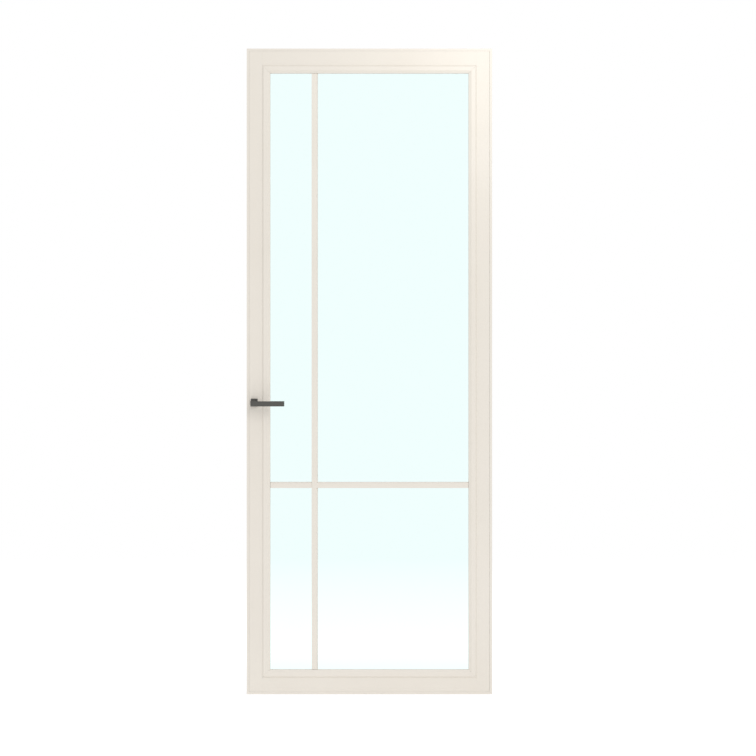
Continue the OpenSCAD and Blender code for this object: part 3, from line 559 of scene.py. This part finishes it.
def makeFloor(spec):
    bm = bmesh.new()
    bmesh.ops.create_grid(bm, x_segments=spec["squares"], y_segments=spec["squares"], size=spec["size"] / 2)
    mesh = bpy.data.meshes.new("studio_floor")
    bm.to_mesh(mesh)
    bm.free()
    floor = bpy.data.objects.new("studio_floor", mesh)
    scene.collection.objects.link(floor)
    floor.location.z = -spec["drop"]
    mat = newMaterial("white studio floor")
    mat.cycles.emission_sampling = "NONE"  # so wide a glow is met by the rays by themselves
    tree = mat.node_tree
    place = addNode(tree, "ShaderNodeTexCoord").outputs["Object"]
    reach = addNode(tree, "ShaderNodeVectorMath", {"operation": "LENGTH"}, {0: place}).outputs["Value"]
    seen = whenSeen(tree)
    # painted pool of light: the floor itself glows brighter close behind the door and fades to plain white far
    # off
    pool = addNode(tree, "ShaderNodeMapRange", None,
                   {"Value": reach, "From Min": spec["poolReach"][0], "From Max": spec["poolReach"][1],
                    "To Min": spec["paintedLightPool"], "To Max": 1.0})
    farLevel = addNode(tree, "ShaderNodeMapRange", None,
                       {"Value": seen, "To Min": spec["softLevel"], "To Max": pool.outputs[0]})
    nearLevel = addNode(tree, "ShaderNodeMapRange", None,
                        {"Value": seen, "To Min": spec["nearSoft"], "To Max": spec["nearGlow"]})
    far = addNode(tree, "ShaderNodeEmission", None,
                  {"Color": linear(spec["white"]), "Strength": farLevel.outputs[0]})
    glow = addNode(tree, "ShaderNodeEmission", None,
                   {"Color": linear(spec["white"]), "Strength": nearLevel.outputs[0]})
    paint = addNode(tree, "ShaderNodeBsdfDiffuse", None, {"Color": linear(spec["paint"])})
    near = addNode(tree, "ShaderNodeAddShader", None, {0: glow.outputs[0], 1: paint.outputs[0]})
    fade = addNode(tree, "ShaderNodeMapRange", {"interpolation_type": "SMOOTHSTEP"},
                   {"Value": reach, "From Min": spec["nearReach"][0], "From Max": spec["nearReach"][1]})
    both = addNode(tree, "ShaderNodeMixShader", None,
                   {0: fade.outputs[0], 1: near.outputs[0], 2: far.outputs[0]})
    addNode(tree, "ShaderNodeOutputMaterial", None, {"Surface": both.outputs[0]})
    mesh.materials.append(mat)


studioAir = {  # white to the eye, and soft light that is a little weaker low down
    "white": "#FFFFFF",
    "fill": "#FCFCFF",
    "horizonLevel": 0.73,
    "zenithLevel": 0.96,
}


def makeWorld(spec):
    world = bpy.data.worlds.new("white studio")
    scene.world = world
    world.use_nodes = True
    tree = world.node_tree
    tree.nodes.clear()
    height = addNode(tree, "ShaderNodeSeparateXYZ", None,
                     {0: addNode(tree, "ShaderNodeTexCoord").outputs["Generated"]})
    level = addNode(tree, "ShaderNodeMapRange", None,
                    {"Value": height.outputs["Z"], "To Min": spec["horizonLevel"],
                     "To Max": spec["zenithLevel"]})
    fill = addNode(tree, "ShaderNodeBackground", None,
                   {"Color": linear(spec["fill"]), "Strength": level.outputs[0]})
    white = addNode(tree, "ShaderNodeBackground", None, {"Color": linear(spec["white"]), "Strength": 1.0})
    both = addNode(tree, "ShaderNodeMixShader", None,
                   {0: whenSeen(tree), 1: fill.outputs[0], 2: white.outputs[0]})
    addNode(tree, "ShaderNodeOutputWorld", None, {"Surface": both.outputs[0]})


# Two soft spots on the upper right corner, where the light falls strongest
cornerSpot = {"kind": "SPOT", "place": (0.7, -5.0, 3.0), "aim": (0.44, -0.045, 2.30), "size": 0.3,
              "blend": 1.0, "colour": "#FFFEFC"}
lamps = {  # metres
    "key": {"kind": "AREA", "place": (1.7, -4.0, 3.7), "aim": (0.0, 0.0, 1.15), "size": 2.6,
            "watts": 44.0, "colour": "#FFFDFB"},
    "corner glow": dict(cornerSpot, watts=128.0, coneMm=405),
    "wide glow": dict(cornerSpot, watts=84.0, coneMm=850),
}


def makeLamp(name, spec):  # a soft panel, or a soft spot with its cone's radius at the door
    light = bpy.data.lights.new(name, spec["kind"])
    light.energy = spec["watts"]
    light.color = linear(spec["colour"])[:3]
    way = Vector(spec["aim"]) - Vector(spec["place"])
    if spec["kind"] == "SPOT":
        light.spot_size = 2 * math.atan(spec["coneMm"] * mm / way.length)
        light.spot_blend = spec["blend"]
        light.shadow_soft_size = spec["size"]
    else:
        light.size = spec["size"]
    lamp = bpy.data.objects.new(name, light)
    scene.collection.objects.link(lamp)
    lamp.location = spec["place"]
    lamp.rotation_euler = way.to_track_quat("-Z", "Y").to_euler()


photoView = {  # metres
    "distance": 24.0,  # far off, so nothing behind the glass shows beside its front twin
    "frameWide": 2.711,  # what the picture spans at the door's front
    "x": 0.0308,
    "z": 1.1336,
    "frontY": -0.045,
    "sensorMm": 36.0,
}


def makeCamera(spec):
    lens = bpy.data.cameras.new("photo view")
    lens.sensor_fit = "HORIZONTAL"
    lens.sensor_width = spec["sensorMm"]
    lens.lens = spec["sensorMm"] * spec["distance"] / spec["frameWide"]
    camera = bpy.data.objects.new("photo view", lens)
    scene.collection.objects.link(camera)
    camera.location = (spec["x"], spec["frontY"] - spec["distance"], spec["z"])
    camera.rotation_euler = (math.radians(90), 0, 0)  # level, straight at the door
    scene.camera = camera


makeFloor(studioFloor)
makeWorld(studioAir)
for name, spec in lamps.items():
    makeLamp(name, spec)
makeCamera(photoView)
print("studio set")
